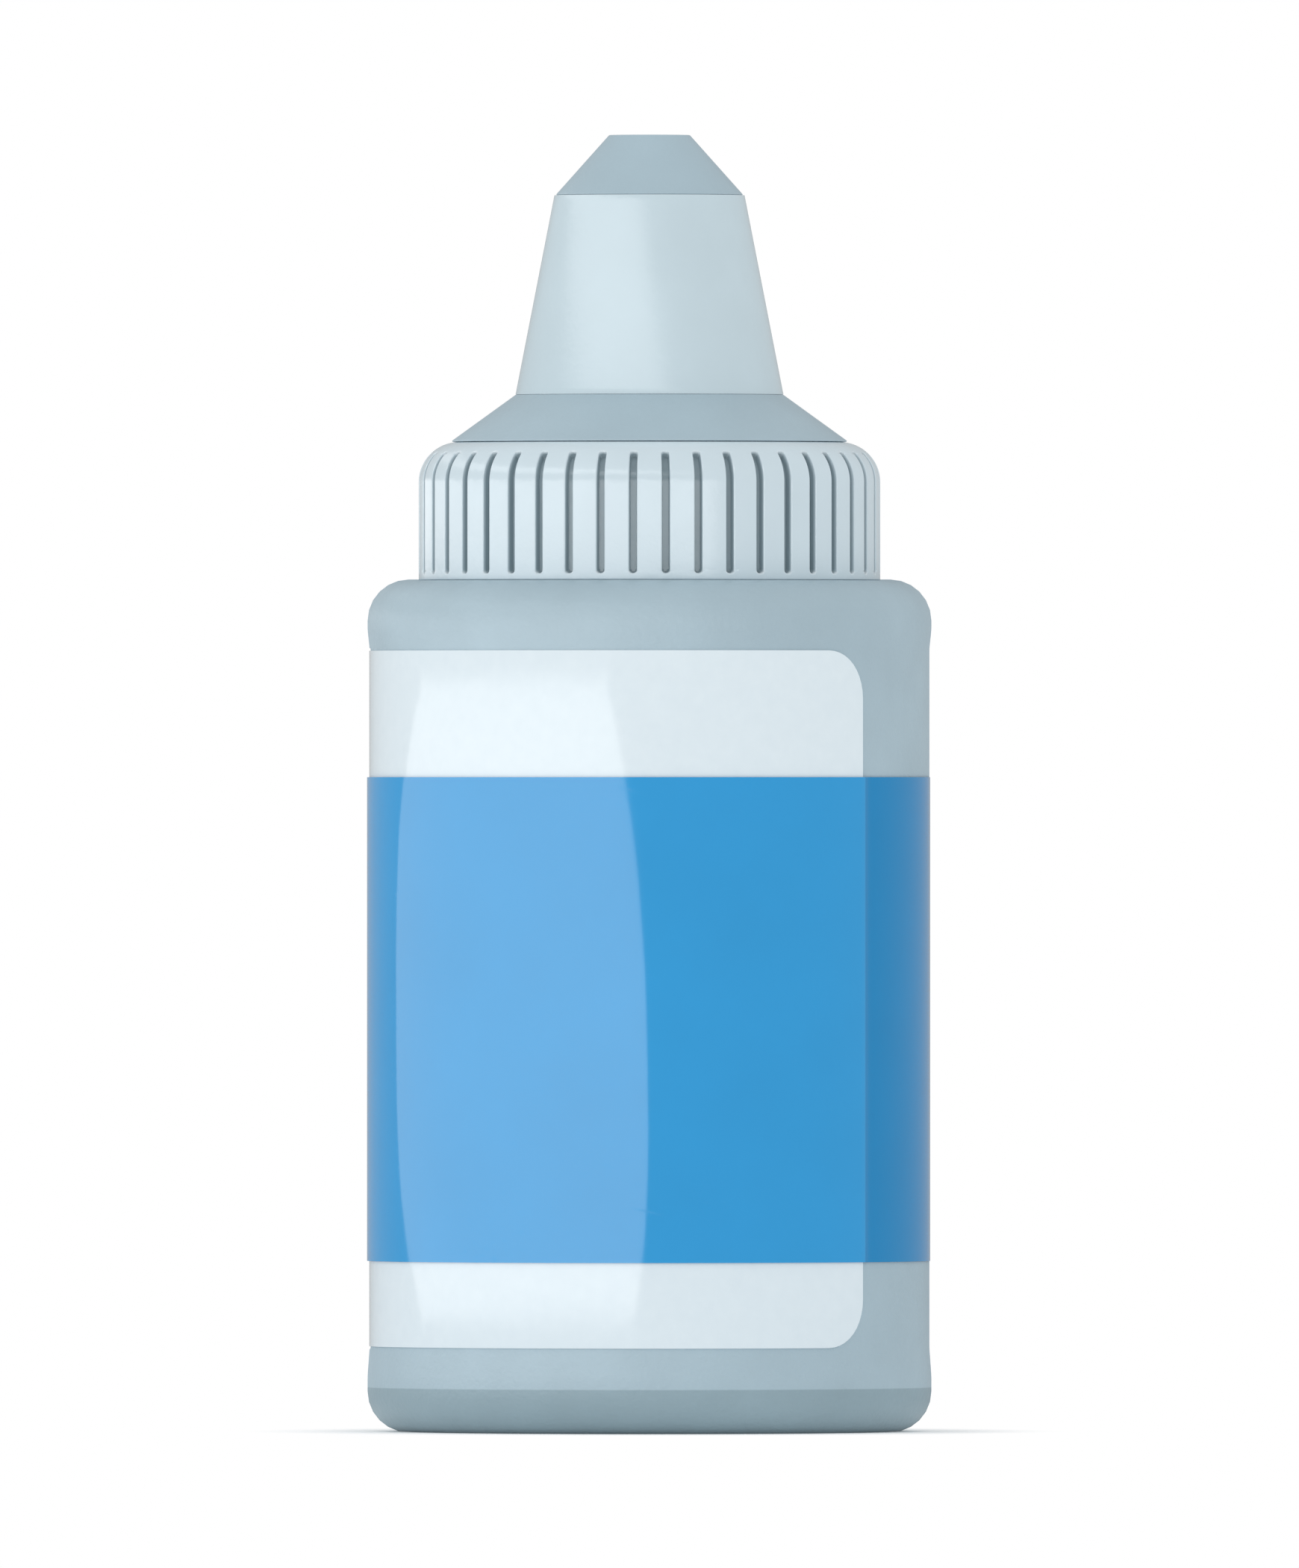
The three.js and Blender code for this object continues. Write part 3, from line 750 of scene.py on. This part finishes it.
# Nozzle cap: a thin tapered sleeve of pale polypropylene that pulls off the nozzle's spigot.
# A low bead inside its mouth grips the spigot, and its roof holds the tip stopper.
CAP_FOOT_RADIUS = 6.68
CAP_TOP_RADIUS = 4.74
CAP_BORE_RADIUS = 5.68
CAP_HOLE_RADIUS = 2.65
CAP_GRIP = 0.15
cap_rest = shoulder_head + 0.01
roof_underside = cap_top - 1.2
CAP_PALE = colour("c8dae2")
cap_corners = [
    (CAP_BORE_RADIUS, cap_rest, 0.15),
    (CAP_FOOT_RADIUS, cap_rest, 0.03),
    (CAP_TOP_RADIUS, cap_top, 0.03),
    (CAP_HOLE_RADIUS, cap_top, 0.1),
    (CAP_HOLE_RADIUS, roof_underside, 0.1),
    (CAP_TOP_RADIUS - 1, roof_underside, 0.4),
    (CAP_BORE_RADIUS, spigot_top + 0.25, 0.4),
    (CAP_BORE_RADIUS, cap_foot + 1.3, 0.1),
    (CAP_BORE_RADIUS - CAP_GRIP, cap_foot + 1, 0.1),
    (CAP_BORE_RADIUS, cap_foot + 0.7, 0.1),
]
cap_plastic = moulded_finish(
    "cap_plastic", lambda tree: CAP_PALE, clouding=0.14, roughness=0.12, grain=0.06,
    relief=0.004, rub=0.3, IOR=1.5,
)
cap = turned(split_rows(outline(cap_corners), cap_rest, cap_top, 0.3), closed=True)
cap_sleeve = piece_from(cap, "cap_sleeve", cap_plastic)
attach(cap_sleeve, "cap")
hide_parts("nozzle_cap")

# Tip stopper: the cap's blunt tip, moulded from blue-grey polyethylene, snaps through the cap's roof.
# Its pin seals the orifice, and its top has the dimple where the mould was filled.
_, pin_foot, tip_top = extent("tip_stopper")
tip_foot = cap_top + 0.01
bead_top = roof_underside - 0.05
STOPPER_STEM = 2.4
STOPPER_BEAD = 0.4
PIN_RADIUS = 0.3
TIP_FOOT_RADIUS = 4.68
TIP_HEAD_RADIUS = 2.01
DIMPLE_DEPTH = 0.18
GATE_DEPTH = 0.06
tip_corners = [
    (0, pin_foot, 0),
    (PIN_RADIUS, pin_foot, 0.12),
    (PIN_RADIUS, bead_top - 0.5, 0.1),
    (STOPPER_STEM, bead_top - 0.5, 0.15),
    (STOPPER_STEM + STOPPER_BEAD, bead_top, 0.08),
    (STOPPER_STEM, bead_top, 0.05),
    (STOPPER_STEM, tip_foot, 0.1),
    (TIP_FOOT_RADIUS, tip_foot, 0.03),
    (TIP_HEAD_RADIUS, tip_top, 0.12),
    (0.75, tip_top, 0.06),
    (0.6, tip_top - DIMPLE_DEPTH, 0.06),
    (0.25, tip_top - DIMPLE_DEPTH, 0.04),
    (0.2, tip_top - GATE_DEPTH, 0.04),
    (0, tip_top - GATE_DEPTH, 0),
]
tip_plastic = moulded_finish(
    "tip_plastic", lambda tree: GREY_PLASTIC, clouding=0.18, roughness=0.34, grain=0.12,
    relief=0.02, rub=0.2, IOR=1.5, Specular_IOR_Level=0.4,
)
tip = turned(split_rows(outline(tip_corners), pin_foot, tip_top + 0.01, 0.2))
tip_plug = piece_from(tip, "tip_plug", tip_plastic)
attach(tip_plug, "cap")
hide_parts("tip_stopper")

# Studio: a white floor that fades into a white background, with the bottle's shadow close to its base.
# Panels of light at the left are mirrored in the label, the collar and the cap.
WHITE = (1, 1, 1, 1)
FLOOR_SIZE = 3.0
SHADOW_REACH = 14.5
SHADOW_END = 21
MIRRORED_STRENGTH = 0.45
floor_mesh = bmesh.new()
bmesh.ops.create_grid(floor_mesh, x_segments=2, y_segments=2, size=FLOOR_SIZE / 2)
floor_paint, tree, shader = finish(
    "floor_paint", Base_Color=(0.95, 0.95, 0.95, 1), Roughness=0.9, Specular_IOR_Level=0.1,
    Emission_Color=WHITE, Emission_Strength=0.1,
)
away = add(tree, "ShaderNodeVectorMath", {0: object_spot(tree)}, operation="LENGTH")
fade = add(
    tree, "ShaderNodeMapRange",
    {"Value": away.outputs["Value"], "From Min": SHADOW_REACH * MM, "From Max": SHADOW_END * MM},
    interpolation_type="SMOOTHSTEP",
)
rays = add(tree, "ShaderNodeLightPath").outputs
brightness = maths(tree, "MULTIPLY_ADD", rays["Is Glossy Ray"], MIRRORED_STRENGTH - 1, 1)
white = add(tree, "ShaderNodeEmission", {"Color": WHITE, "Strength": brightness})
seen = maths(tree, "MAXIMUM", rays["Is Camera Ray"], rays["Is Glossy Ray"])
seen_through = maths(tree, "MAXIMUM", seen, rays["Is Transmission Ray"])
faded = maths(tree, "MULTIPLY", fade.outputs["Result"], seen_through)
mixed = add(
    tree, "ShaderNodeMixShader", {0: faded, 1: shader.outputs["BSDF"], 2: white.outputs["Emission"]}
)
tree.links.new(mixed.outputs["Shader"], tree.nodes["Material Output"].inputs["Surface"])
floor = piece_from(floor_mesh, "studio_floor", floor_paint)

FILL_STRENGTH = 0.9
world = bpy.data.worlds.new("studio_fill")
bpy.context.scene.world = world
world.use_nodes = True
tree = world.node_tree
fill = tree.nodes["Background"]
fill.inputs["Strength"].default_value = FILL_STRENGTH
fill.inputs["Color"].default_value = WHITE
white = add(tree, "ShaderNodeBackground", {"Color": WHITE, "Strength": 1})
dim = add(tree, "ShaderNodeBackground", {"Color": WHITE, "Strength": MIRRORED_STRENGTH})
rays = add(tree, "ShaderNodeLightPath").outputs
seen = maths(tree, "MAXIMUM", rays["Is Camera Ray"], rays["Is Transmission Ray"])
lit = add(
    tree, "ShaderNodeMixShader",
    {0: rays["Is Glossy Ray"], 1: fill.outputs["Background"], 2: dim.outputs["Background"]},
)
mixed = add(
    tree, "ShaderNodeMixShader", {0: seen, 1: lit.outputs["Shader"], 2: white.outputs["Background"]}
)
tree.links.new(mixed.outputs["Shader"], tree.nodes["World Output"].inputs["Surface"])

PANEL_DISTANCE = 100
PANEL_BACK = 60
PANEL_STEPS = 24
SLANT_LOSS = 0.635
SLANT_CURVE = 2.2


def glow_panel(name, low, high, left_edge, right_edge, radiance):
    """A curved panel of light round the bottle, between two heights and two edges, which give an angle
    from the front, in degrees, at each share of the height. It shows only as a reflection. It weakens
    towards its back, which the bottle mirrors at a slant and so more strongly."""
    sheet = bmesh.new()
    bmesh.ops.create_grid(sheet, x_segments=PANEL_STEPS, y_segments=PANEL_STEPS, size=0.5)
    for vert in sheet.verts:
        across = vert.co.x + 0.5
        up = vert.co.y + 0.5
        angle = math.radians(left_edge(up) * (1 - across) + right_edge(up) * across)
        sideways = PANEL_DISTANCE * math.sin(angle)
        forwards = PANEL_DISTANCE * math.cos(angle)
        vert.co = Vector((sideways, -forwards, low + (high - low) * up)) * MM
    glow, tree, shader = finish(name)
    depth = add(tree, "ShaderNodeSeparateXYZ", {"Vector": object_spot(tree)}).outputs["Y"]
    back = ramp(tree, depth, -PANEL_DISTANCE * MM, PANEL_BACK * MM)
    slant = maths(tree, "POWER", back, SLANT_CURVE)
    strength = maths(tree, "MULTIPLY_ADD", slant, -SLANT_LOSS * radiance, radiance)
    light = add(tree, "ShaderNodeEmission", {"Color": WHITE, "Strength": strength})
    tree.links.new(light.outputs["Emission"], tree.nodes["Material Output"].inputs["Surface"])
    panel = piece_from(sheet, name, glow)
    panel.visible_camera = False
    panel.visible_diffuse = False
    panel.visible_shadow = False


def label_panel_left(up):
    """The left edge bows out at its middle."""
    return -120 + 18.5 * abs(2 * up - 1) ** 3


def label_panel_right(up):
    """The right edge leans back towards its top and a little at its foot."""
    widest = 0.32
    if up > widest:
        return -0.6 - 16 * ((up - widest) / (1 - widest)) ** 2.4
    return -0.6 - 5.8 * ((widest - up) / widest) ** 3


def cap_panel_right(up):
    """The right edge stands past the front and leans back in the upper part that the cap mirrors."""
    return 28.2 - 48.4 * up


def wrap_left(up):
    """The left edge of the cap's and collar's panels stands far round the back."""
    return -150


def collar_panel_right(up):
    """The right edge stands straight, past the front."""
    return 31.4


glow_panel("label_glow", 4.9, 37.6, label_panel_left, label_panel_right, radiance=3.2)
glow_panel("cap_glow", 84, 106, wrap_left, cap_panel_right, radiance=3)
glow_panel("collar_glow", 42.8, 51.5, wrap_left, collar_panel_right, radiance=4.6)

KEY_SIZE = 0.3
KEY_ENERGY = 0.17
KEY_PLACE = (-0.31, -0.26, 0.27)
key_lamp = bpy.data.lights.new("key_lamp", "AREA")
key_lamp.size = KEY_SIZE
key_lamp.energy = KEY_ENERGY
key = bpy.data.objects.new("key_lamp", key_lamp)
key.location = KEY_PLACE
key.rotation_euler = key.location.to_track_quat("Z", "Y").to_euler()
key.visible_camera = False
key.visible_glossy = False
bpy.context.scene.collection.objects.link(key)

# Camera: level with the middle of the frame and square to the front, with a long lens, as in the photo.
FRAME_HEIGHT = 78.14
FRAME_CENTRE = 32.26
LENS = 1350
SENSOR = 36
camera_data = bpy.data.cameras.new("front_camera")
camera_data.lens = LENS
camera_data.sensor_width = SENSOR
camera_data.clip_end = 10
camera = bpy.data.objects.new("front_camera", camera_data)
camera.location = (0, -FRAME_HEIGHT * LENS / SENSOR * MM, FRAME_CENTRE * MM)
camera.rotation_euler = (math.pi / 2, 0, 0)
bpy.context.scene.collection.objects.link(camera)
bpy.context.scene.camera = camera
bpy.context.scene.view_settings.view_transform = "Standard"
